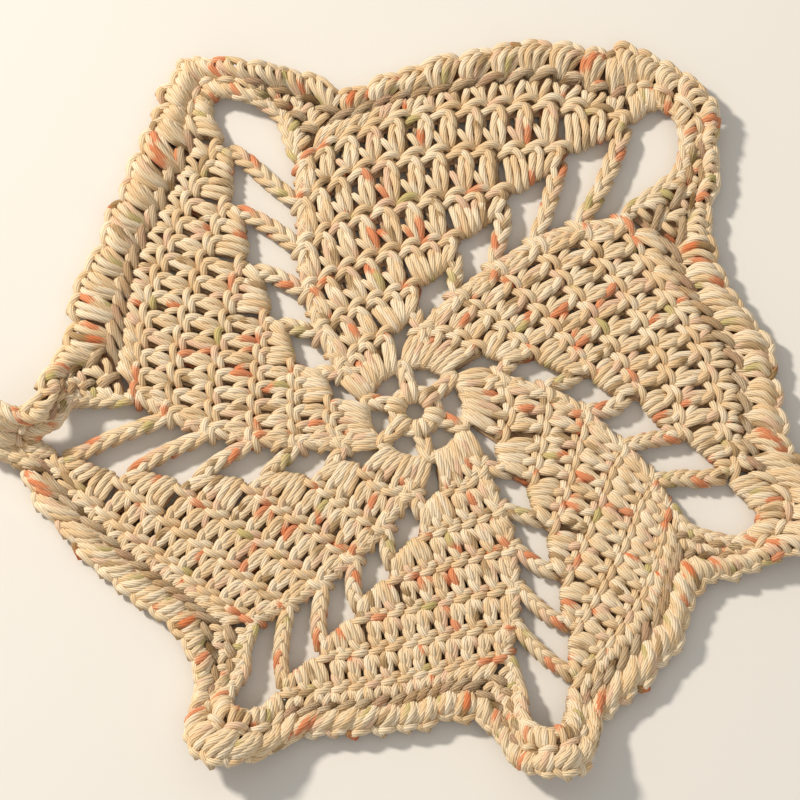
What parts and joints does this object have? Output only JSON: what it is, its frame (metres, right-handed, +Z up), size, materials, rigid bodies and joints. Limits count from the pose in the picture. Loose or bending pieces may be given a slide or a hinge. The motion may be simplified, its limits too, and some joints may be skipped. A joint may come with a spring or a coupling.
{
  "type": "crochet doily",
  "caption": "Six-pointed crocheted cotton doily in a spiral pinwheel of solid wings parted by arms of open eyelets, with a puffed border and softly folded tips.",
  "frame": {"origin": "middle of the doily's box, on the surface it lies on", "axes": "+Z up out of the right side of the work; -Y towards the viewer; +X to the viewer's right"},
  "size_m": [0.2864, 0.2638, 0.0192],
  "materials": {
    "flecked_cotton": "matt plied cotton yarn, cream with short orange, olive and brown flecks"
  },
  "bodies": {
    "root": {"doily": "flecked_cotton"}
  },
  "joints": []
}
